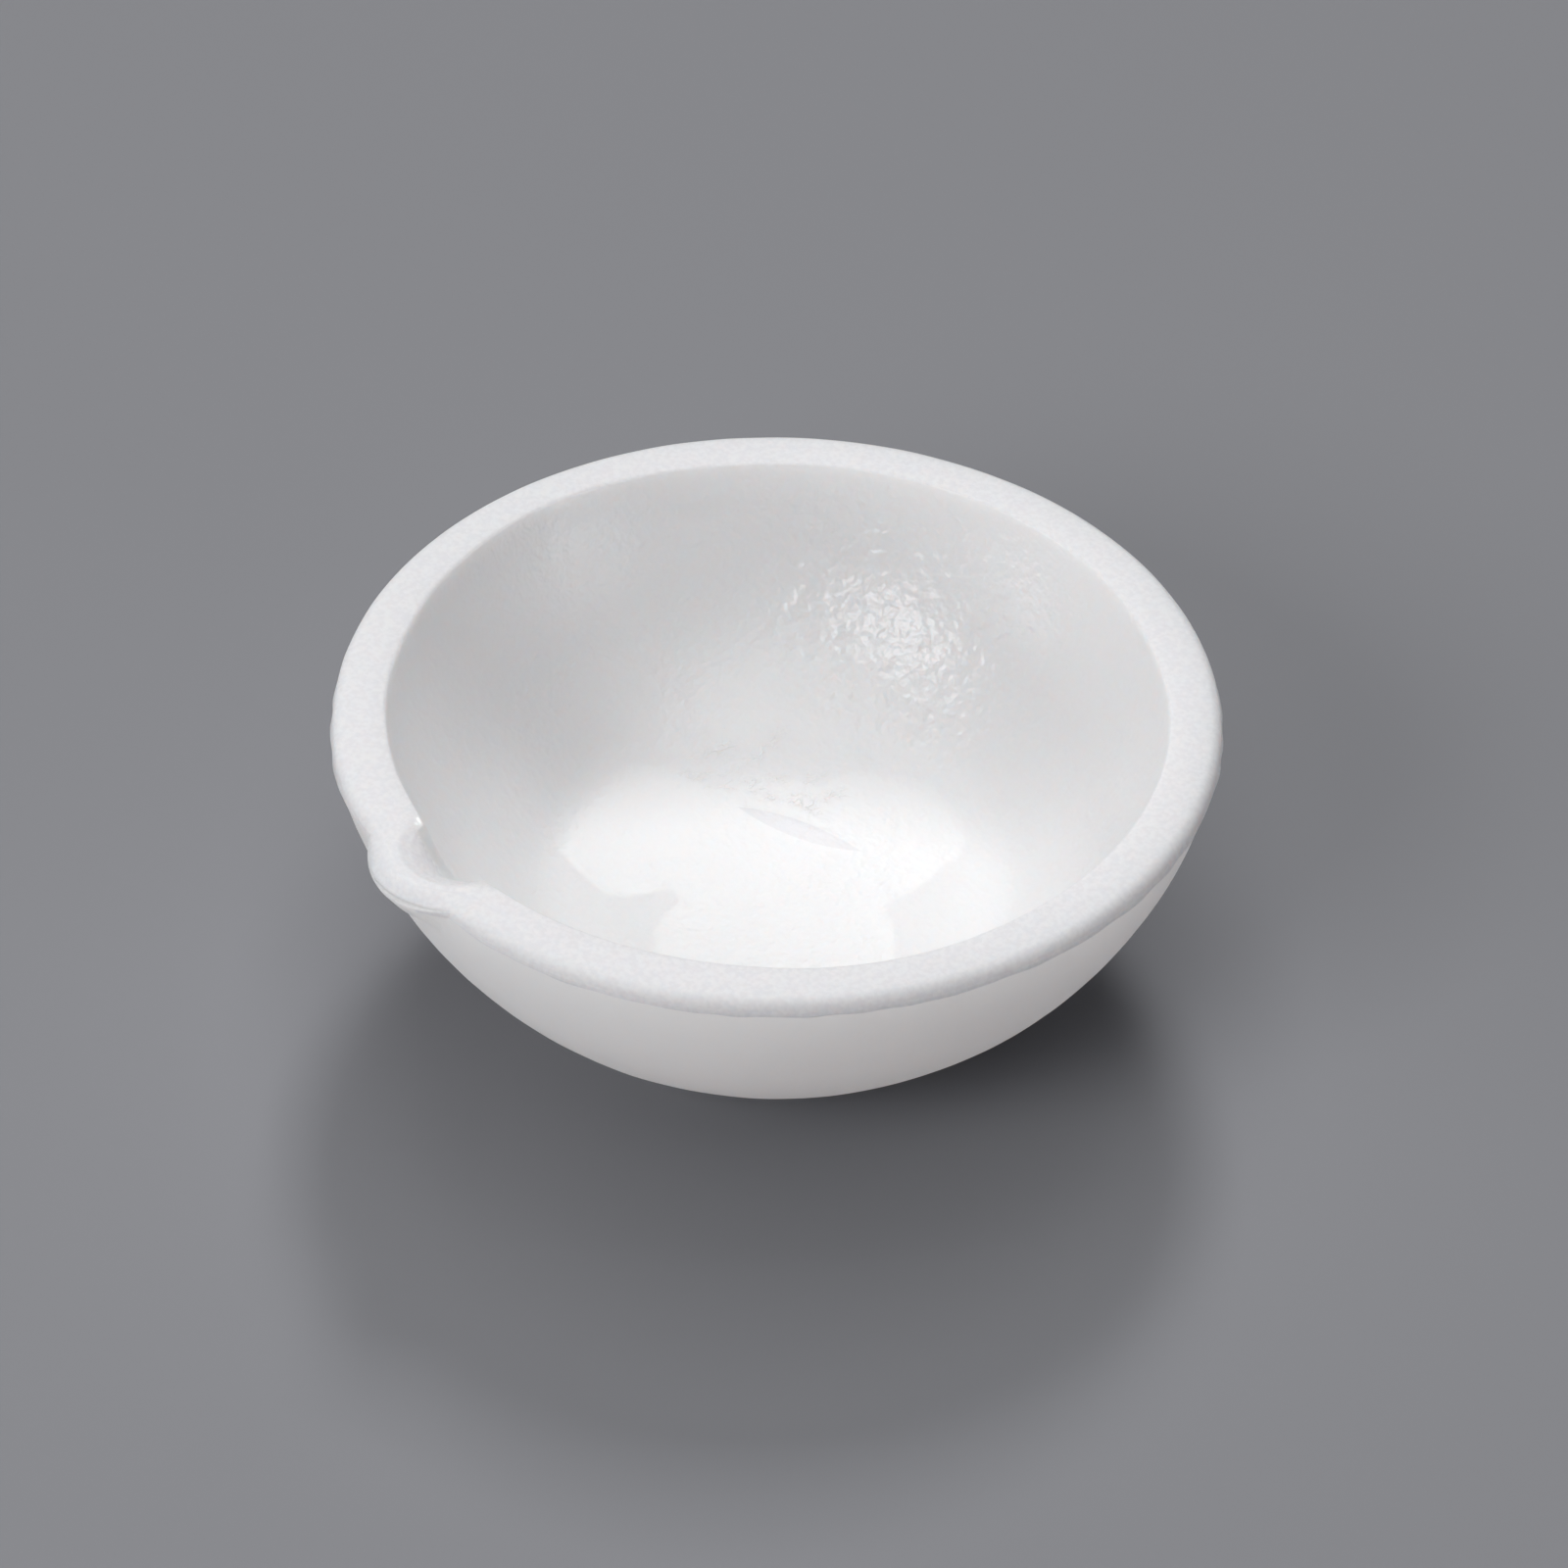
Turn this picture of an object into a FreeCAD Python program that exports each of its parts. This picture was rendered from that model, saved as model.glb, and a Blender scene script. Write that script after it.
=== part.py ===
import FreeCAD, Part
import math
import os

# Silica melting dish: a round bowl with a thick wall, a flat rim, a flat foot and a pouring lip.
# It was formed and fused as one piece, so it is one solid. Sizes are in millimetres.
# The origin is the centre of the foot's underside, +Z is up and the lip points along -Y.

# Outside, part of a ball. The diameter is taken at the mould line, just under the rim
outer_diameter = 104.0
height = 40.0
foot_diameter = 40.0

# Bowl. Its wall is part of a ball too and keeps the thickness it has at the rim. Its floor is flat
rim_width = 6.0
floor_thickness = 10.0
floor_edge_radius = 16.0

# Rim. The outer edge is rounded by a bevel and a smaller one where that meets the flat rim
outer_edge_bevel = 0.75
upper_edge_bevel = 0.35
inner_edge_bevel = 0.4

# Mould line: a fine raised line round the outside, where the two halves of the mould met
mould_line_drop = 1.65
mould_line_width = 0.5
mould_line_height = 0.14

# Pouring lip: a half-round notch in the rim, which runs down the bowl's wall as a narrowing groove
lip_radius = 6.05
lip_depth = 4.15
groove_length = 9.0
groove_end_radius = 3.1

# Bulge outside the lip, part of a ball, which keeps the wall thick behind the notch
lip_wall = 5.5
bulge_radius = 7.95
bulge_rise = 1.55
bulge_blend_radius = 2.4

# Places that follow from the sizes above
outer_radius = outer_diameter / 2
foot_radius = foot_diameter / 2
bowl_radius = outer_radius - rim_width
mould_line_level = height - mould_line_drop
notch_reach = bowl_radius + lip_depth
lip_reach = notch_reach + lip_wall

# Tools that cut the rim run on above it by this much
overrun = 5.0


def profile_point(radius, level):
    """A point of a half profile, which is turned about the dish's axis."""
    return FreeCAD.Vector(radius, 0, level)


def straight(start, end):
    return Part.makeLine(profile_point(*start), profile_point(*end))


def turned(edges):
    """The solid of revolution inside a closed half profile."""
    wire = Part.Wire(Part.__sortEdges__(edges))
    return Part.Face(wire).revolve(FreeCAD.Vector(0, 0, 0), FreeCAD.Vector(0, 0, 1), 360)


class Side:
    """The round profile of a wall: part of a ball centred on the dish's axis."""

    def __init__(self, centre_level, ball_radius):
        self.centre_level = centre_level
        self.ball_radius = ball_radius

    def radius(self, level):
        drop = self.centre_level - level
        return math.sqrt(max(0.0, self.ball_radius ** 2 - drop ** 2))

    def lean(self, level):
        """How much the radius grows for each millimetre up, at a level."""
        return (self.centre_level - level) / self.radius(level)

    def edge(self, high_level, low_level):
        levels = (high_level, (high_level + low_level) / 2, low_level)
        return Part.Arc(*[profile_point(self.radius(level), level) for level in levels]).toShape()


def outer_side():
    """The outside has its full diameter at the mould line and ends at the foot."""
    spread = outer_radius ** 2 + mould_line_level ** 2 - foot_radius ** 2
    centre_level = spread / (2 * mould_line_level)
    return Side(centre_level, math.hypot(foot_radius, centre_level))


def bowl_side():
    """The bowl's wall has the same centre as the outside and its full radius at the rim."""
    centre_level = outer_side().centre_level
    return Side(centre_level, math.hypot(bowl_radius, centre_level - height))


def bowl_edges():
    """The bowl's profile: the wall, the arc that rounds its lower end and the flat floor."""
    side = bowl_side()
    arc_level = floor_thickness + floor_edge_radius
    arc_drop = side.centre_level - arc_level
    inside_wall = side.ball_radius - floor_edge_radius
    floor_radius = math.sqrt(inside_wall ** 2 - arc_drop ** 2)
    # The arc ends where a line from the wall's centre through the arc's own centre meets the wall
    wall_end = profile_point(floor_radius, -arc_drop) * (side.ball_radius / inside_wall)
    wall_end.z += side.centre_level
    halfway = math.radians(45) + math.atan2(arc_drop, floor_radius) / 2
    middle_radius = floor_radius + floor_edge_radius * math.cos(halfway)
    middle_level = arc_level - floor_edge_radius * math.sin(halfway)
    arc = Part.Arc(
        wall_end,
        profile_point(middle_radius, middle_level),
        profile_point(floor_radius, floor_thickness),
    )
    return [
        side.edge(height, wall_end.z),
        arc.toShape(),
        straight((floor_radius, floor_thickness), (0, floor_thickness)),
    ]


def full_body():
    """The outside of the dish as a full solid. Above the mould line its side goes on straight."""
    side = outer_side()
    rim_radius = outer_radius + side.lean(mould_line_level) * mould_line_drop
    return turned([
        straight((0, 0), (foot_radius, 0)),
        side.edge(mould_line_level, 0),
        straight((outer_radius, mould_line_level), (rim_radius, height)),
        straight((rim_radius, height), (0, height)),
        straight((0, height), (0, 0)),
    ])


def bowl_space():
    """The space inside the bowl, which runs on above the rim."""
    above = height + overrun
    return turned(bowl_edges() + [
        straight((bowl_radius, height), (bowl_radius, above)),
        straight((bowl_radius, above), (0, above)),
        straight((0, above), (0, floor_thickness)),
    ])


def lip_bulge():
    """The rounded boss that swells out of the side behind the notch, cut off level with the rim."""
    radius_at_rim = math.sqrt(bulge_radius ** 2 - bulge_rise ** 2)
    centre = FreeCAD.Vector(0, radius_at_rim - lip_reach, height + bulge_rise)
    ball = Part.makeSphere(bulge_radius, centre)
    above = Part.makeBox(4 * bulge_radius, 4 * bulge_radius, 4 * bulge_radius)
    above.translate(FreeCAD.Vector(-2 * bulge_radius, centre.y - 2 * bulge_radius, height))
    return ball.cut(above)


def lip_groove():
    """The cone whose outer side is the groove: the notch at the rim, narrowing down the bowl's wall."""
    faded_reach = bowl_side().radius(height - groove_length)
    # The cone's axis runs from the middle of the notch to the middle of the groove's lower end
    notch = FreeCAD.Vector(0, lip_radius - notch_reach, height)
    end = FreeCAD.Vector(0, groove_end_radius - faded_reach, height - groove_length)
    axis = end - notch
    narrowing = (lip_radius - groove_end_radius) / axis.Length
    start = notch - axis * (overrun / axis.Length)
    return Part.makeCone(
        lip_radius + narrowing * overrun,
        groove_end_radius - narrowing * overrun,
        axis.Length + 2 * overrun,
        start,
        axis,
    )


def mould_line():
    """A ring with a three-cornered section. One corner stands proud of the side as the mould line."""
    lean = outer_side().lean(mould_line_level) * mould_line_width
    buried_radius = outer_radius - mould_line_height
    crest = (outer_radius + mould_line_height, mould_line_level)
    upper = (buried_radius + lean, mould_line_level + mould_line_width)
    lower = (buried_radius - lean, mould_line_level - mould_line_width)
    return turned([straight(crest, upper), straight(upper, lower), straight(lower, crest)])


def bulge_edges(shape):
    """The edges that run down between the side and the bulge."""
    return [
        edge for edge in shape.Edges
        if edge.BoundBox.ZLength > mould_line_drop
        and edge.BoundBox.YMax < -bowl_radius
        and edge.BoundBox.YMin > -lip_reach
    ]


def rim_face(shape):
    return max(shape.Faces, key=lambda face: face.BoundBox.ZMin)


def melting_dish():
    dish = full_body().fuse(lip_bulge()).removeSplitter()
    dish = dish.makeFillet(bulge_blend_radius, bulge_edges(dish))
    dish = dish.makeChamfer(outer_edge_bevel, rim_face(dish).OuterWire.Edges)
    dish = dish.makeChamfer(upper_edge_bevel, rim_face(dish).OuterWire.Edges)
    dish = dish.cut(bowl_space())
    dish = dish.cut(lip_groove())
    inner_wire = min(rim_face(dish).Wires, key=lambda wire: wire.BoundBox.XLength)
    dish = dish.makeChamfer(inner_edge_bevel, inner_wire.Edges)
    return dish.fuse(mould_line())


os.makedirs("parts", exist_ok=True)
dish = melting_dish()
dish.exportStep("parts/melting_dish.step")
print("melting_dish: valid", dish.isValid(), "solids", len(dish.Solids), "volume mm3", round(dish.Volume, 1))
print("box", dish.BoundBox)
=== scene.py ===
import math

import bmesh
import bpy
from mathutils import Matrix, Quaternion, Vector, noise


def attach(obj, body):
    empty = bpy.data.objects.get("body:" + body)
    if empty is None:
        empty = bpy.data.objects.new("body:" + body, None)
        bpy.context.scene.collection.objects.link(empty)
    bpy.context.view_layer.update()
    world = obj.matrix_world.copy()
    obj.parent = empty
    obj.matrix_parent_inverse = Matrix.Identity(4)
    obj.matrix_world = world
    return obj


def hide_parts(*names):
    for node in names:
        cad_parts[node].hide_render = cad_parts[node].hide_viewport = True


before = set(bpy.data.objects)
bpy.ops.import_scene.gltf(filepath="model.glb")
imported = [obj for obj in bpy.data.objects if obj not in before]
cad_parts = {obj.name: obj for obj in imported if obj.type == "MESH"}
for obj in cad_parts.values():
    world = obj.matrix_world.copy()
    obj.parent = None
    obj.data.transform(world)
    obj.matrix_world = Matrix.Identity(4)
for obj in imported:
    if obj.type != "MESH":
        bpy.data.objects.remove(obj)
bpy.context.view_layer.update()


# Melting dish
# One thick piece of opaque fused silica, formed in a two-part mould and fused in one firing. The rim
# and the outside keep the fine grain of the sand, and the flame glazed the bowl inside.
# Its sizes are in millimetres until the mesh is scaled. Its materials are in metres.
rim_level = 40.0
rim_outer_radius = 52.0
rim_outer_rounding = 1.3
rim_inner_rounding = 0.45
side_ball = 53.12
side_ball_level = 49.21
foot_rounding = 6.0
mould_line_level = 38.35
bowl_ball = 46.91
bowl_floor_level = 9.7
bowl_floor_ball = 260.0
bowl_corner_rounding = 7.0

dish = bmesh.new()


def draw_arc(start, centre_radius, centre_level, degrees, rows):
    """Draws the half profile on round a centre, downwards from the top for positive degrees."""
    arc = bmesh.ops.spin(
        dish,
        geom=[start],
        cent=(centre_radius, 0, centre_level),
        axis=(0, 1, 0),
        angle=math.radians(degrees),
        steps=rows,
    )
    return arc["geom_last"][0]


def draw_straight(start, radius, level, rows):
    """Draws the half profile straight on to a radius and a level."""
    run = bmesh.ops.spin(
        dish,
        geom=[start],
        dvec=(Vector((radius, 0, level)) - start.co) / rows,
        axis=(0, 1, 0),
        steps=rows,
    )
    return run["geom_last"][0]


# The bowl's floor is a very flat ball, and a rounding joins it to the wall
floor_ball_level = bowl_floor_level + bowl_floor_ball
rise = floor_ball_level - side_ball_level
corner_to_floor_ball = bowl_floor_ball - bowl_corner_rounding
corner_to_wall_ball = bowl_ball - bowl_corner_rounding
corner_drop = ((corner_to_floor_ball ** 2 - corner_to_wall_ball ** 2) / rise - rise) / 2
corner_level = side_ball_level - corner_drop
corner_radius = math.sqrt(corner_to_wall_ball ** 2 - corner_drop ** 2)
floor_end_angle = math.degrees(math.atan2(corner_radius, rise + corner_drop))
wall_start_angle = math.degrees(math.atan2(corner_radius, corner_drop))

# The rim's inner rounding lies against the outside of the bowl's ball
inner_rounding_level = rim_level - rim_inner_rounding
inner_rounding_drop = side_ball_level - rim_level + rim_inner_rounding
inner_rounding_radius = math.sqrt((bowl_ball + rim_inner_rounding) ** 2 - inner_rounding_drop ** 2)
wall_end_angle = math.degrees(math.atan2(inner_rounding_radius, inner_rounding_drop))

# The rim's outer rounding meets the side just above the mould line
side_angle = math.degrees(math.atan2(rim_outer_radius, side_ball_level - mould_line_level))
side_slope = math.radians(90 - side_angle)
outer_rounding_level = rim_level - rim_outer_rounding
rounding_end_level = outer_rounding_level - rim_outer_rounding * math.sin(side_slope)
outer_rounding_radius = (
    rim_outer_radius
    + (rounding_end_level - mould_line_level) * math.tan(side_slope)
    - rim_outer_rounding * math.cos(side_slope)
)

# The foot's rounding lies inside the side's ball
foot_drop = side_ball_level - foot_rounding
foot_flat_radius = math.sqrt((side_ball - foot_rounding) ** 2 - foot_drop ** 2)
foot_angle = math.degrees(math.atan2(foot_flat_radius, foot_drop))

# The half profile runs from the middle of the bowl's floor, over the rim, to the middle of the foot.
# Its rows stand close together in the first degrees below the rim, for the mould line
mould_line_degrees = 0.8
below_mould_line = side_angle - foot_angle - mould_line_degrees
end = dish.verts.new((0, 0, bowl_floor_level))
end = draw_arc(end, 0, floor_ball_level, -floor_end_angle, rows=54)
end = draw_arc(end, corner_radius, corner_level, floor_end_angle - wall_start_angle, rows=10)
end = draw_arc(end, 0, side_ball_level, wall_start_angle - wall_end_angle, rows=42)
end = draw_arc(end, inner_rounding_radius, inner_rounding_level, wall_end_angle, rows=4)
end = draw_straight(end, outer_rounding_radius, rim_level, rows=10)
end = draw_arc(end, outer_rounding_radius, outer_rounding_level, 180 - side_angle, rows=8)
end = draw_straight(end, rim_outer_radius, mould_line_level, rows=1)
end = draw_arc(end, 0, side_ball_level, mould_line_degrees, rows=7)
end = draw_arc(end, 0, side_ball_level, below_mould_line, rows=23)
end = draw_arc(end, foot_flat_radius, foot_rounding, foot_angle, rows=3)
end = draw_straight(end, 0, 0, rows=3)

# A twelfth of the dish is turned and then repeated, which is much quicker than one full turn.
# Points that lie closer together than the merge distance become one
sectors = 12
sector_columns = 50
sector_degrees = 360 / sectors
merge_distance = 0.001
bmesh.ops.spin(
    dish,
    geom=dish.verts[:] + dish.edges[:],
    axis=(0, 0, 1),
    angle=math.radians(sector_degrees),
    steps=sector_columns,
)
bmesh.ops.spin(
    dish,
    geom=dish.verts[:] + dish.edges[:] + dish.faces[:],
    axis=(0, 0, 1),
    angle=math.radians(360 - sector_degrees),
    steps=sectors - 1,
    use_duplicate=True,
)
bmesh.ops.remove_doubles(dish, verts=dish.verts, dist=merge_distance)


# The dish so far is plain and round. The functions that follow say how far each point of it moves
def soft_hump(away, half_width):
    """1 in the middle of a soft hump, fading to 0 on both sides."""
    return math.exp(-(away / half_width) ** 2)


def broad_hump(away, half_width):
    """The same with a broader top and steeper sides."""
    return math.exp(-(away / half_width) ** 4)


def soft_step(beyond, softness):
    """1 well inside an edge and 0 well beyond it. The limit keeps far places within range."""
    return 1 / (1 + math.exp(min(beyond / softness, 50)))


def softly_wider(first, second, softness):
    """The larger of two radii, with the corner between them rounded off."""
    nearness = max(softness - abs(first - second), 0) / softness
    return max(first, second) + nearness * nearness * softness / 4


def round_reach(angle, centre_reach, radius):
    """How far a circle, centred towards the lip, reaches at an angle from it."""
    across = centre_reach * math.sin(angle)
    if math.cos(angle) < 0 or abs(across) >= radius:
        return 0
    return centre_reach * math.cos(angle) + math.sqrt(radius * radius - across * across)


def swelling(angle, swellings):
    """The sum of soft swellings round the dish at an angle from the lip."""
    total = 0
    for centre, half_width, size in swellings:
        away = (math.degrees(angle) - centre + 180) % 360 - 180
        total += size * soft_hump(away, half_width)
    return total


def ball_radius_at(ball, level):
    """How far a ball with the side's centre reaches from the dish's axis at a level."""
    return math.sqrt(max(ball * ball - (side_ball_level - level) ** 2, 0))


# Pouring lip, inside: a half-round notch that runs down the wall as a groove and narrows with depth
notch_radius = 6.05
notch_reach = 50.15
groove_narrowing = 0.328
groove_lean = 0.772
groove_edge_softness = 0.5

# Soft dents left by the mould in the rim's inner edge: angle from the lip, half width, size
rim_inner_dents = (
    (68, 16, 0.5),
    (-88, 15, 0.5),
    (163, 14, -0.3),
    (-50, 9, -0.25),
    (-120, 12, -0.25),
)
dent_depth = 6.0

# Ledge round the back of the bowl, left by the forming tool: angle from the lip, half width, size
ledge_place = ((-107, 42, 0.25),)
ledge_depth = 5.5
ledge_softness = 0.15

# Deeper than this, nothing of them is left
lowest_dent_depth = 16.0


def bowl_push(angle, level):
    """How far the bowl's wall lies outside its ball, for the groove, the dents and the ledge."""
    depth = rim_level - level
    if depth > lowest_dent_depth:
        return 0
    wall = ball_radius_at(bowl_ball, level)
    radius = notch_radius - groove_narrowing * depth
    reach = notch_reach - groove_lean * depth
    groove = round_reach(angle, reach - radius, radius)
    dents = swelling(angle, rim_inner_dents) * soft_hump(depth, dent_depth)
    ledge = swelling(angle, ledge_place) * soft_step(depth - ledge_depth, ledge_softness)
    return softly_wider(wall, groove, groove_edge_softness) - wall + dents + ledge


# Pouring lip, outside: a ball-shaped bulge that blends into the side
bulge_radius = 7.95
bulge_level = 41.55
bulge_reach = 47.85
bulge_blend = 5.0

# The side is a little fuller than its ball, and swells out softly in places under the rim
side_fullness = 0.32
full_side_depth = 30.0
rim_outer_swellings = ((-22, 10, 0.45), (26, 16, 0.3), (46, 14, 0.2))
swelling_depth = 25.0

# The mould line is uneven round the dish and stops on both sides of the lip
mould_line_height = 0.42
mould_line_drop = 0.28
mould_line_half_width = 0.19
mould_line_mean = 0.75
mould_line_spread = 0.5
mould_line_breaks = 14.0
mould_line_gap_degrees = 14.0


def side_push(angle, level):
    """How far the outside lies outside its ball: fullness, swellings, the lip's bulge, mould line."""
    depth = rim_level - level
    side = ball_radius_at(side_ball, level)
    push = 0
    if depth < full_side_depth:
        push = side_fullness * math.sin(math.pi * depth / full_side_depth)
    push += swelling(angle, rim_outer_swellings) * soft_hump(depth, swelling_depth)
    drop = bulge_level - level
    if drop < bulge_radius:
        bulge = round_reach(angle, bulge_reach, math.sqrt(bulge_radius ** 2 - drop ** 2))
        push = softly_wider(side + push, bulge, bulge_blend) - side
    round_the_rim = Vector((math.sin(angle), math.cos(angle), 0))
    unevenness = noise.noise(round_the_rim * mould_line_breaks)
    ridge = mould_line_mean + mould_line_spread * unevenness
    ridge *= 1 - broad_hump(math.degrees(angle), mould_line_gap_degrees)
    from_crest = level - mould_line_level + mould_line_drop
    return push + mould_line_height * ridge * soft_hump(from_crest, mould_line_half_width)


# Top of the lip: rounded over at both edges, with a shallow curved hollow between them.
# Places across the rim are shares of its width, from the bowl to the outside
lip_top_degrees = 8.5
lip_inner_drop = 0.75
lip_inner_share = 0.25
lip_outer_drop = 1.3
lip_outer_start = 0.55
lip_outer_spread = 0.2
hollow_angle = 4.0
hollow_degrees = 8.0
hollow_depth = 0.34
hollow_place = 0.52
hollow_share = 0.11


def lip_top_drop(angle, share):
    """How far the rim's flat drops at the lip."""
    inner = lip_inner_drop * soft_hump(share, lip_inner_share)
    outer = lip_outer_drop * max(share - lip_outer_start, 0) ** 2 / lip_outer_spread
    hollow = hollow_depth * soft_hump(share - hollow_place, hollow_share)
    at_notch = broad_hump(math.degrees(angle), lip_top_degrees)
    along_hollow = broad_hump(math.degrees(angle) - hollow_angle, hollow_degrees)
    return at_notch * (inner + outer) + along_hollow * hollow


# Puddle of glaze on the bowl's floor: round lobes, each with its centre and radius
glaze_lobes = (
    ((-17.6, -6.9), 11.0),
    ((-1.3, 15.9), 10.5),
    ((-4.8, 3.6), 14.0),
    ((8.0, -6.0), 14.0),
)
glaze_lobe_blend = 2.0
glaze_height = 0.12
glaze_edge_softness = 0.25


def inside_glaze(place):
    """1 in the puddle of glaze, 0 outside it."""
    beyond = math.inf
    for centre, radius in glaze_lobes:
        beyond_lobe = math.dist((place.x, place.y), centre) - radius
        beyond = -softly_wider(-beyond, -beyond_lobe, glaze_lobe_blend)
    return soft_step(beyond, glaze_edge_softness)


# Leaf-shaped mark pressed into the floor, from its left tip to its right one
leaf_tips = ((-15.3, 5.3), (-0.1, 13.2))
leaf_half_width = 1.45
leaf_depth = 0.12
leaf_edge_softness = 0.12


def inside_leaf(place):
    """1 in the leaf mark, 0 outside it. It is widest in the middle and ends in two points."""
    start, end = Vector(leaf_tips[0]), Vector(leaf_tips[1])
    along = (end - start).normalized()
    from_middle = Vector((place.x, place.y)) - (start + end) / 2
    lengthwise = from_middle.dot(along) / (end - start).length * 2
    if abs(lengthwise) >= 1:
        return 0
    crosswise = abs(from_middle.cross(along)) / leaf_half_width
    return soft_step(crosswise - (1 - lengthwise ** 2), leaf_edge_softness)


# Folds in the glaze behind the leaf mark: the places that each one runs through. They wander and
# change in strength on their way, and none lies further than the reach from their middle
glaze_folds = (
    ((-23.8, 2.2), (-24.6, 5.7), (-23.2, 9.6)),
    ((-22.6, 3.4), (-21.1, 7.2), (-20.1, 11.8), (-21.2, 16.7)),
    ((-19.7, 4.2), (-17.8, 8.3), (-13.6, 10.1), (-11.5, 12.2), (-9.4, 13.0)),
    ((-18.6, 7.4), (-16.6, 11.8), (-14.3, 14.2), (-13.3, 17.9)),
    ((-14.0, 9.5), (-12.0, 13.0), (-10.1, 14.1), (-9.8, 17.4)),
)
folds_middle = (-17.8, 8.3)
folds_reach = 14.0
fold_half_width = 0.75
fold_height = 0.16
fold_wander = 0.7
fold_wander_length = 1.1
fold_strength = 0.75
fold_strength_length = 1.7


def inside_fold(place):
    """1 on the crest of a fold in the glaze, 0 away from it."""
    spot = Vector((place.x, place.y))
    if (spot - Vector(folds_middle)).length > folds_reach:
        return 0
    elsewhere = Vector((5, 5, 5))
    spot.x += noise.noise(place / fold_wander_length) * fold_wander
    spot.y += noise.noise(place / fold_wander_length + elsewhere) * fold_wander
    nearest = math.inf
    for fold in glaze_folds:
        for start, end in zip(fold, fold[1:]):
            start, end = Vector(start), Vector(end)
            share = (spot - start).dot(end - start) / (end - start).length_squared
            nearest = min(nearest, (spot - start.lerp(end, min(max(share, 0), 1))).length)
    strength = min(max(fold_strength + noise.noise(place / fold_strength_length), 0), 1)
    return strength * soft_hump(nearest, fold_half_width)


# The columns of the mesh crowd together at the lip by this share
lip_crowding = 0.68

# The wall starts this far from the centre of the balls and is this thick. Points between the bowl
# and the outside follow both, by their share of the way through it
wall_start = 47.3
wall_thickness = 4.1

# The floor's outline is not quite round: angle from the lip, half width, part by which it is wider
floor_outline = ((-128, 38, -0.2), (-75, 22, 0.06), (175, 25, 0.04))
floor_radius = 32.0
floor_radius_softness = 2.5

# The glaze and the mould leave the walls gently uneven, in waves of these lengths and heights. On the
# rim's flat, down to this depth, they only raise and lower it, and the underside stays flat
wall_waves = ((11, 0.09), (4.5, 0.03))
rim_flat_depth = 0.5
underside_level = 1.0

fold_share = dish.verts.layers.float.new("fold")
for vertex in dish.verts:
    radius = math.hypot(vertex.co.x, vertex.co.y)
    level = vertex.co.z
    angle = math.atan2(vertex.co.x, -vertex.co.y)
    angle -= lip_crowding * math.sin(angle)
    from_centre = math.hypot(radius, side_ball_level - level)
    share = min(max((from_centre - wall_start) / wall_thickness, 0), 1)
    # The two points on the dish's axis stay where they are
    if radius > merge_distance:
        radius += (1 - share) * bowl_push(angle, level) + share * side_push(angle, level)
    if share == 0:
        on_floor = soft_step(radius - floor_radius, floor_radius_softness)
        radius *= 1 + swelling(angle, floor_outline) * on_floor
    place = Vector((radius * math.sin(angle), -radius * math.cos(angle), level))
    uneven = sum(height * noise.noise(place / length) for length, height in wall_waves)
    if level > rim_level - rim_flat_depth:
        place.z += uneven - lip_top_drop(angle, share)
    elif level > underside_level:
        place += uneven * Vector((place.x, place.y, level - side_ball_level)).normalized()
    if share == 0 and radius < floor_radius:
        place.z += glaze_height * inside_glaze(place) - leaf_depth * inside_leaf(place)
        vertex[fold_share] = inside_fold(place)
        place.z += fold_height * vertex[fold_share]
    vertex.co = place

bmesh.ops.recalc_face_normals(dish, faces=dish.faces)
bmesh.ops.scale(dish, vec=(0.001, 0.001, 0.001), verts=dish.verts)
mesh = bpy.data.meshes.new("melting_dish")
dish.to_mesh(mesh)
dish.free()
mesh.shade_smooth()
melting_dish = bpy.data.objects.new("fused_melting_dish", mesh)
bpy.context.scene.collection.objects.link(melting_dish)


def new_material(name, colour, roughness):
    """A plain glassy material, with its node tree and its shader to add the finish to."""
    material = bpy.data.materials.new(name)
    material.use_nodes = True
    shader = material.node_tree.nodes["Principled BSDF"]
    shader.inputs["Base Color"].default_value = colour
    shader.inputs["Roughness"].default_value = roughness
    shader.inputs["IOR"].default_value = 1.46
    return material, material.node_tree, shader


def let_light_through(shader, depth):
    """Milky silica: light that goes in comes out again some way off."""
    shader.inputs["Subsurface Weight"].default_value = 1
    shader.inputs["Subsurface Radius"].default_value = (1.0, 0.86, 0.8)
    shader.inputs["Subsurface Scale"].default_value = depth


def feed(tree, socket, value):
    """Gives a socket its value: an output is linked, and a plain number or colour is written."""
    if isinstance(value, bpy.types.NodeSocket):
        tree.links.new(value, socket)
    else:
        socket.default_value = value


def add_grain(tree, place, size, detail):
    """Noise over the surface whose grains are about a size in metres."""
    grain = tree.nodes.new("ShaderNodeTexNoise")
    grain.inputs["Scale"].default_value = 0.5 / size
    grain.inputs["Detail"].default_value = detail
    tree.links.new(place, grain.inputs["Vector"])
    return grain.outputs["Fac"]


def add_bump(tree, height, strength, depth, under=None):
    """Small unevenness from a height, on top of a coarser one."""
    bump = tree.nodes.new("ShaderNodeBump")
    bump.inputs["Strength"].default_value = strength
    bump.inputs["Distance"].default_value = depth
    tree.links.new(height, bump.inputs["Height"])
    if under is not None:
        tree.links.new(under, bump.inputs["Normal"])
    return bump.outputs["Normal"]


def add_range(tree, value, limits, results):
    """Turns a value between two limits softly into one between two results."""
    spread = tree.nodes.new("ShaderNodeMapRange")
    spread.interpolation_type = "SMOOTHSTEP"
    names = ("From Min", "From Max", "To Min", "To Max")
    for name, number in zip(names, (*limits, *results)):
        spread.inputs[name].default_value = number
    tree.links.new(value, spread.inputs["Value"])
    return spread.outputs["Result"]


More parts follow.
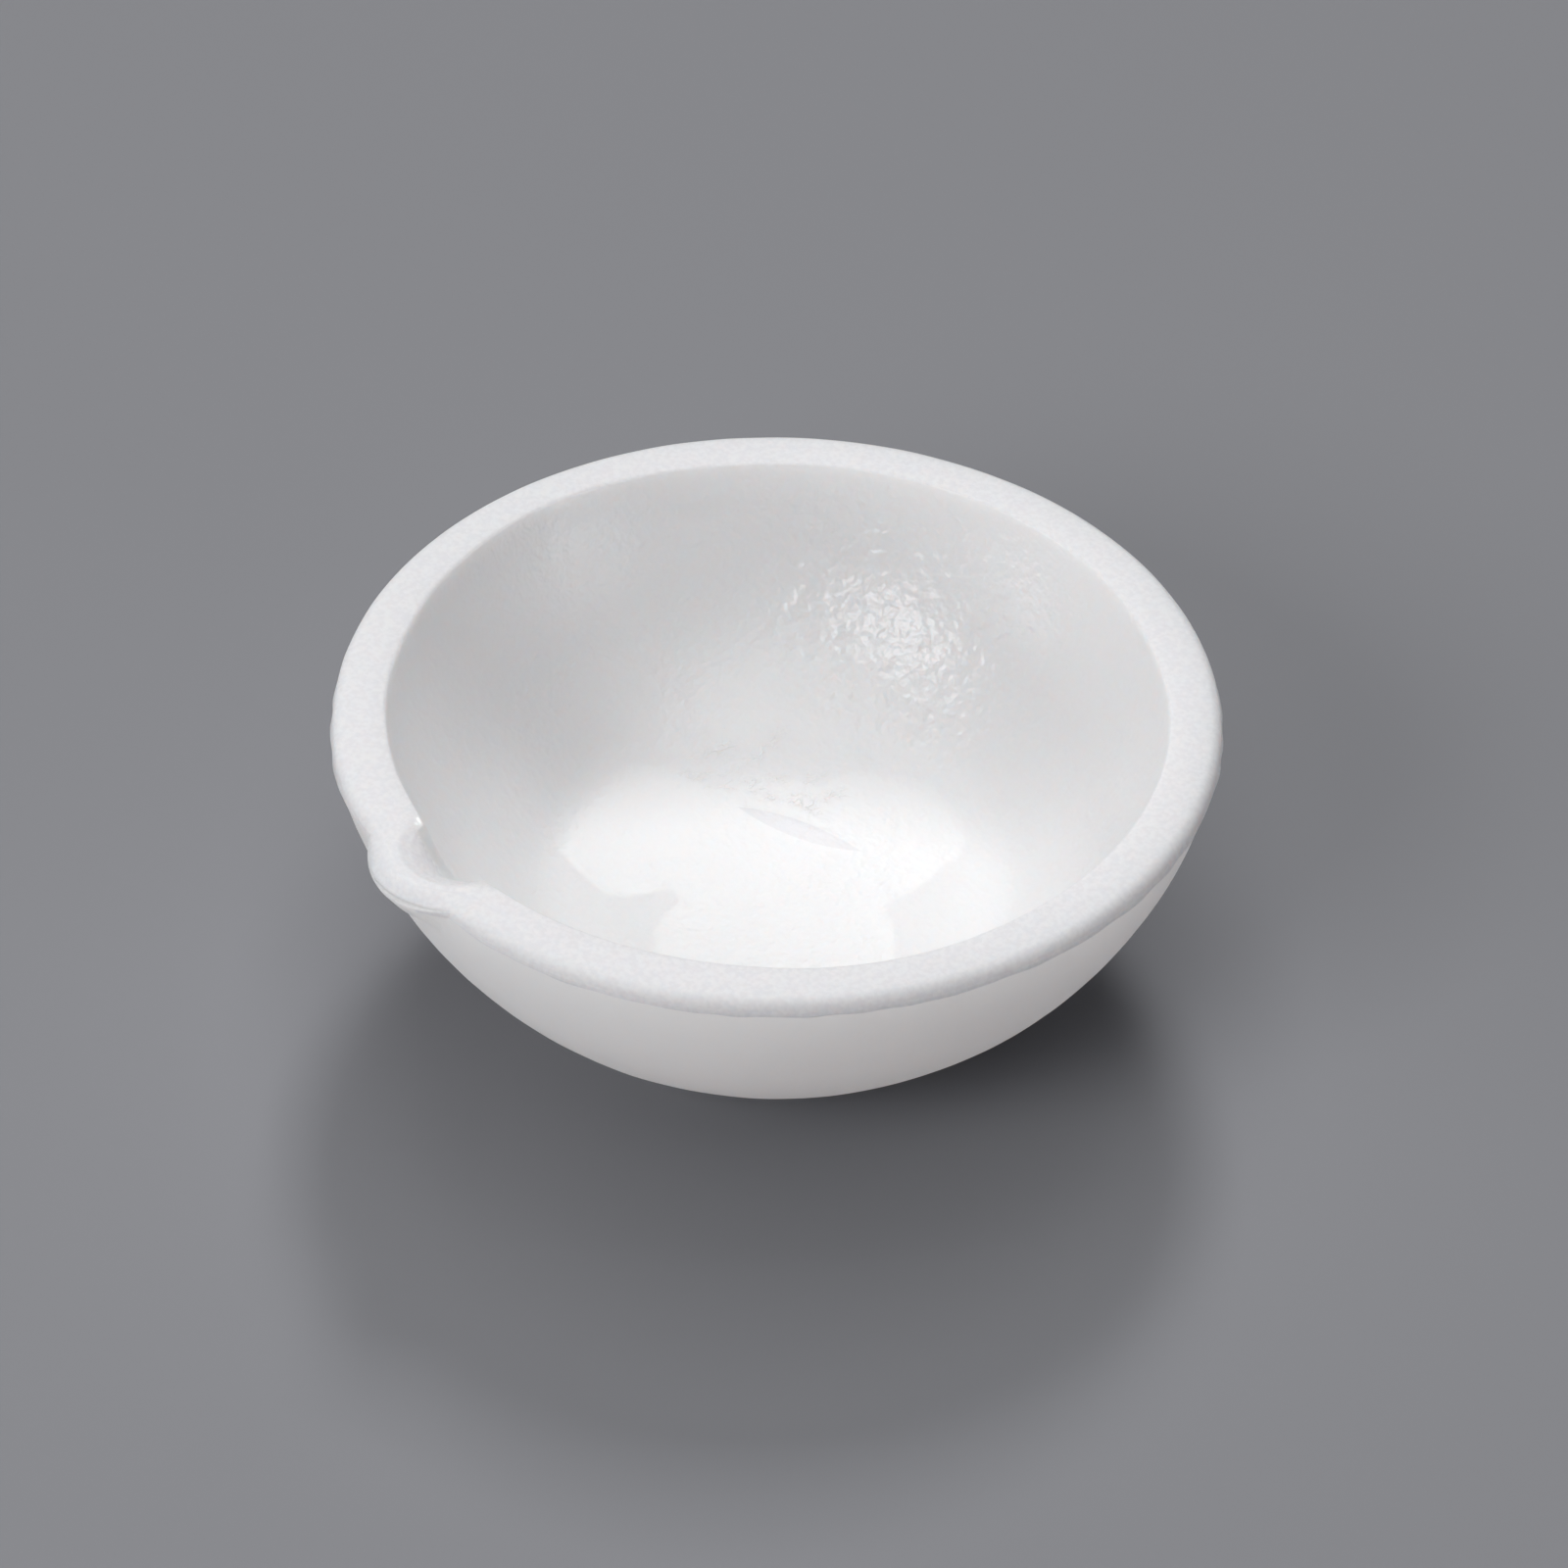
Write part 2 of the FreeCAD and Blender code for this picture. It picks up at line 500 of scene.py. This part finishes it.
def add_tint(tree, share, first, second):
    """A colour between two, by a share."""
    tint = tree.nodes.new("ShaderNodeMix")
    tint.data_type = "RGBA"
    feed(tree, tint.inputs["Factor"], share)
    feed(tree, tint.inputs["A"], first)
    feed(tree, tint.inputs["B"], second)
    return tint.outputs["Result"]


def calculate(tree, operation, *values):
    """One step of arithmetic on outputs and plain numbers."""
    step = tree.nodes.new("ShaderNodeMath")
    step.operation = operation
    for socket, value in zip(step.inputs, values):
        feed(tree, socket, value)
    return step.outputs["Value"]


def calculate_place(tree, operation, place, other):
    """One step of arithmetic on a place, with a fixed place or direction."""
    step = tree.nodes.new("ShaderNodeVectorMath")
    step.operation = operation
    tree.links.new(place, step.inputs[0])
    step.inputs[1].default_value = other
    return step.outputs["Value" if operation in ("DISTANCE", "DOT_PRODUCT") else "Vector"]


# Rim: matt, with a fine sugary grain
silica, tree, shader = new_material("sugary_silica", (0.92, 0.915, 0.94, 1), roughness=0.6)
let_light_through(shader, depth=0.005)
place = tree.nodes.new("ShaderNodeTexCoord").outputs["Object"]
fine = add_grain(tree, place, size=0.0003, detail=1)
coarse = add_grain(tree, place, size=0.0009, detail=2)
normal = add_bump(tree, coarse, strength=0.5, depth=0.00012)
normal = add_bump(tree, fine, strength=0.6, depth=0.00008, under=normal)
tree.links.new(normal, shader.inputs["Normal"])
speckle = add_range(tree, fine, (0.3, 0.7), (0, 1))
tint = add_tint(tree, speckle, (0.872, 0.862, 0.898, 1), (0.924, 0.914, 0.95, 1))
tree.links.new(tint, shader.inputs["Base Color"])

# Outside below the mould line: smoother, with faint clouds in the white where light comes through
skin, tree, shader = new_material("smooth_silica", (0.95, 0.945, 0.95, 1), roughness=0.5)
let_light_through(shader, depth=0.035)
place = tree.nodes.new("ShaderNodeTexCoord").outputs["Object"]
fine = add_grain(tree, place, size=0.0003, detail=1)
coarse = add_grain(tree, place, size=0.002, detail=2)
normal = add_bump(tree, coarse, strength=0.4, depth=0.00012)
normal = add_bump(tree, fine, strength=0.3, depth=0.00006, under=normal)
tree.links.new(normal, shader.inputs["Normal"])
clouds = add_range(tree, add_grain(tree, place, size=0.005, detail=3), (0.3, 0.7), (0, 1))
tint = add_tint(tree, clouds, (0.975, 0.958, 0.96, 1), (0.99, 0.978, 0.98, 1))
tree.links.new(tint, shader.inputs["Base Color"])

# Bowl: glazed by the flame, with faint clouds in the white of its wall
wall_whites = ((0.952, 0.939, 0.972, 1), (0.97, 0.957, 0.988, 1))
puddle_painted_sheen = (0.975, 0.968, 0.985, 1)
fold_grey = (0.93, 0.92, 0.945, 1)
fold_white = (0.995, 0.992, 0.995, 1)
leaf_painted_shade = (0.865, 0.858, 0.875, 1)
glaze, tree, shader = new_material("glazed_silica", (0.95, 0.945, 0.955, 1), roughness=0.25)
let_light_through(shader, depth=0.0015)
shader.inputs["Specular IOR Level"].default_value = 0.8
place = tree.nodes.new("ShaderNodeTexCoord").outputs["Object"]
on_plan = calculate_place(tree, "MULTIPLY", place, (1, 1, 0))
levels = tree.nodes.new("ShaderNodeSeparateXYZ")
tree.links.new(place, levels.inputs[0])
on_floor = add_range(tree, levels.outputs["Z"], (0.0135, 0.015), (1, 0))

# Puddle of glaze: the same lobes as in the mesh, with an edge that wanders a little
beyond = None
for centre, radius in glaze_lobes:
    lobe_centre = (centre[0] / 1000, centre[1] / 1000, 0)
    beyond_lobe = calculate_place(tree, "DISTANCE", on_plan, lobe_centre)
    beyond_lobe = calculate(tree, "SUBTRACT", beyond_lobe, radius / 1000)
    if beyond is None:
        beyond = beyond_lobe
    else:
        beyond = calculate(tree, "SMOOTH_MIN", beyond, beyond_lobe, glaze_lobe_blend / 1000)
wander = add_grain(tree, place, size=0.003, detail=2)
beyond = calculate(tree, "ADD", beyond, add_range(tree, wander, (0.2, 0.8), (-0.0012, 0.0012)))
in_puddle = add_range(tree, beyond, (-0.0003, 0.0004), (1, 0))
in_puddle = calculate(tree, "MULTIPLY", in_puddle, on_floor)

# Leaf mark: inside where the distance across it and the square of that along it come to less than 1
leaf_start, leaf_end = Vector((*leaf_tips[0], 0)) / 1000, Vector((*leaf_tips[1], 0)) / 1000
leaf_along = (leaf_end - leaf_start).normalized()
leaf_across = Vector((-leaf_along.y, leaf_along.x, 0))
half_lengths = leaf_along * 2 / (leaf_end - leaf_start).length
half_widths = leaf_across * 1000 / leaf_half_width
from_leaf = calculate_place(tree, "SUBTRACT", on_plan, (leaf_start + leaf_end) / 2)
lengthwise = calculate_place(tree, "DOT_PRODUCT", from_leaf, half_lengths)
crosswise = calculate_place(tree, "DOT_PRODUCT", from_leaf, half_widths)
crosswise = calculate(tree, "ABSOLUTE", crosswise)
outline = calculate(tree, "MULTIPLY_ADD", lengthwise, lengthwise, crosswise)
in_leaf = calculate(tree, "MULTIPLY", add_range(tree, outline, (0.9, 1.05), (1, 0)), on_floor)

# Folds: each is a band of fine bright wrinkles on slightly greyer glaze
fold_layer = tree.nodes.new("ShaderNodeAttribute")
fold_layer.attribute_name = "fold"
in_fold = fold_layer.outputs["Fac"]
stretched = calculate_place(tree, "MULTIPLY", place, (1.3, 0.7, 1))
wrinkles = add_grain(tree, stretched, size=0.0007, detail=2)
wrinkles = calculate(tree, "ABSOLUTE", calculate(tree, "SUBTRACT", wrinkles, 0.5))
wrinkles = calculate(tree, "MULTIPLY", add_range(tree, wrinkles, (0, 0.07), (1, 0)), in_fold)

clouds = add_range(tree, add_grain(tree, place, size=0.004, detail=2), (0.3, 0.7), (0, 1))
tint = add_tint(tree, clouds, *wall_whites)
# The puddle is painted a little lighter than the wall: painted sheen of the lamp behind the dish on
# the flat floor.
tint = add_tint(tree, in_puddle, tint, puddle_painted_sheen)
tint = add_tint(tree, in_fold, tint, fold_grey)
tint = add_tint(tree, wrinkles, tint, fold_white)
# The leaf hollow is real, but its grey is painted shade: there the lamp's reflection that lights the
# puddle round it is missing.
tint = add_tint(tree, in_leaf, tint, leaf_painted_shade)
tree.links.new(tint, shader.inputs["Base Color"])

# Orange peel all over, and stronger ripples where the flame played on the back wall
flame_place = (-0.0195, 0.033, 0.022)
from_flame = calculate_place(tree, "DISTANCE", place, flame_place)
near_flame = add_range(tree, from_flame, (0.012, 0.022), (1, 0.3))
ripples = add_grain(tree, place, size=0.001, detail=1)
ripples = calculate(tree, "MULTIPLY", ripples, near_flame)
ripples = calculate(tree, "MULTIPLY_ADD", wrinkles, 0.3, ripples)
peel = add_grain(tree, place, size=0.00045, detail=1)
normal = add_bump(tree, ripples, strength=0.9, depth=0.0004)
normal = add_bump(tree, peel, strength=0.8, depth=0.00018, under=normal)
tree.links.new(normal, shader.inputs["Normal"])

# The puddle shines a little more than the floor round it, and the wall more than both
plain_roughness = 0.85
puddle_roughness = 0.5
wall_roughness = 0.285
floor_roughness = add_range(tree, in_puddle, (0, 1), (plain_roughness, puddle_roughness))
on_wall = add_range(tree, levels.outputs["Z"], (0.0112, 0.0145), (0, 1))
change = calculate(tree, "SUBTRACT", wall_roughness, floor_roughness)
roughness = calculate(tree, "MULTIPLY_ADD", on_wall, change, floor_roughness)
tree.links.new(roughness, shader.inputs["Roughness"])

# The glaze covers the bowl up to the rim's inner rounding. The smooth skin covers the outside below
# the mould line, and the foot
glaze_from_centre = 48.5
glaze_top_level = rim_level - 0.2
skin_from_centre = 51.0
skin_top_level = mould_line_level - mould_line_drop
foot_top_level = 5.0
finishes = (silica, glaze, skin)
for finish in finishes:
    mesh.materials.append(finish)
for face in mesh.polygons:
    middle = face.center * 1000
    from_centre = math.hypot(middle.x, middle.y, side_ball_level - middle.z)
    on_foot = middle.z <= foot_top_level
    if from_centre < glaze_from_centre and middle.z < glaze_top_level and not on_foot:
        face.material_index = finishes.index(glaze)
    elif on_foot or (from_centre > skin_from_centre and middle.z < skin_top_level):
        face.material_index = finishes.index(skin)

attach(melting_dish, "root")
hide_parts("melting_dish")


# Studio floor
# A plain grey sheet that the dish stands on. It reaches far beyond the picture on all sides, and it
# is matt, so that neither the dish nor the lamps show in it.
floor_sheet = bmesh.new()
bmesh.ops.create_grid(floor_sheet, x_segments=1, y_segments=1, size=6)
floor_mesh = bpy.data.meshes.new("studio_floor")
floor_sheet.to_mesh(floor_mesh)
floor_sheet.free()
studio_floor = bpy.data.objects.new("studio_floor", floor_mesh)
bpy.context.scene.collection.objects.link(studio_floor)
floor_grey, tree, shader = new_material("floor_grey", (0.29, 0.293, 0.313, 1), roughness=0.9)
shader.inputs["Specular IOR Level"].default_value = 0.2
floor_mesh.materials.append(floor_grey)


# Studio light
# A soft key lamp behind the dish, two wide ones above it, a panel in front on the left, and a low
# fill on each side. All of them stand outside the picture and face the dish.
def add_softbox(name, azimuth, elevation, distance, width, height, power):
    """A lamp that faces the dish from an azimuth and an elevation in degrees."""
    lamp = bpy.data.lights.new(name, "AREA")
    lamp.shape = "RECTANGLE"
    lamp.size = width
    lamp.size_y = height
    lamp.energy = power
    light = bpy.data.objects.new(name, lamp)
    across = math.cos(math.radians(elevation))
    light.location = Vector((
        across * math.cos(math.radians(azimuth)),
        across * math.sin(math.radians(azimuth)),
        math.sin(math.radians(elevation)),
    )) * distance
    light.rotation_euler = light.location.to_track_quat("Z", "Y").to_euler()
    bpy.context.scene.collection.objects.link(light)


# Azimuth and elevation, then distance, width and height in metres, and power
add_softbox("back_softbox", 139.5, 48, 2.5, 0.45, 0.65, 23)
add_softbox("top_softbox", 143, 76, 1.5, 0.9, 0.9, 5.0)
add_softbox("front_softbox", -36, 72, 1.5, 1.0, 1.0, 4.1)
add_softbox("window_panel", -76, 36, 1.2, 0.5, 0.42, 4.0)
add_softbox("left_fill", -112, 7, 1.5, 0.5, 0.3, 5.0)
add_softbox("right_fill", 20, 7, 1.5, 0.4, 0.3, 2.4)

# The surround gives no light of its own, but a view past the floor shows it in the floor's tone
no_light = (0, 0, 0, 1)
surround_grey = (0.25, 0.252, 0.27, 1)
surround = bpy.data.worlds.new("grey_surround")
surround.use_nodes = True
tree = surround.node_tree
seen = tree.nodes.new("ShaderNodeLightPath").outputs["Is Camera Ray"]
tone = add_tint(tree, seen, no_light, surround_grey)
tree.links.new(tone, tree.nodes["Background"].inputs["Color"])
bpy.context.scene.world = surround


# Camera
# It looks down on the dish from the front right, with the pouring lip at the left. Its place, lens
# and directions were fitted to the outlines of the real piece.
camera_roll = 1.1
looks_along = Vector((-0.6115, 0.4525, -0.6491))
camera_data = bpy.data.cameras.new("camera")
camera_data.lens = 142.49
camera_data.sensor_width = 36
camera = bpy.data.objects.new("camera", camera_data)
camera.location = (0.45071, -0.33244, 0.50529)
level_turn = looks_along.to_track_quat("-Z", "Y")
camera.rotation_euler = (level_turn @ Quaternion((0, 0, 1), math.radians(camera_roll))).to_euler()
bpy.context.scene.collection.objects.link(camera)
bpy.context.scene.camera = camera
bpy.context.scene.view_settings.view_transform = "Standard"
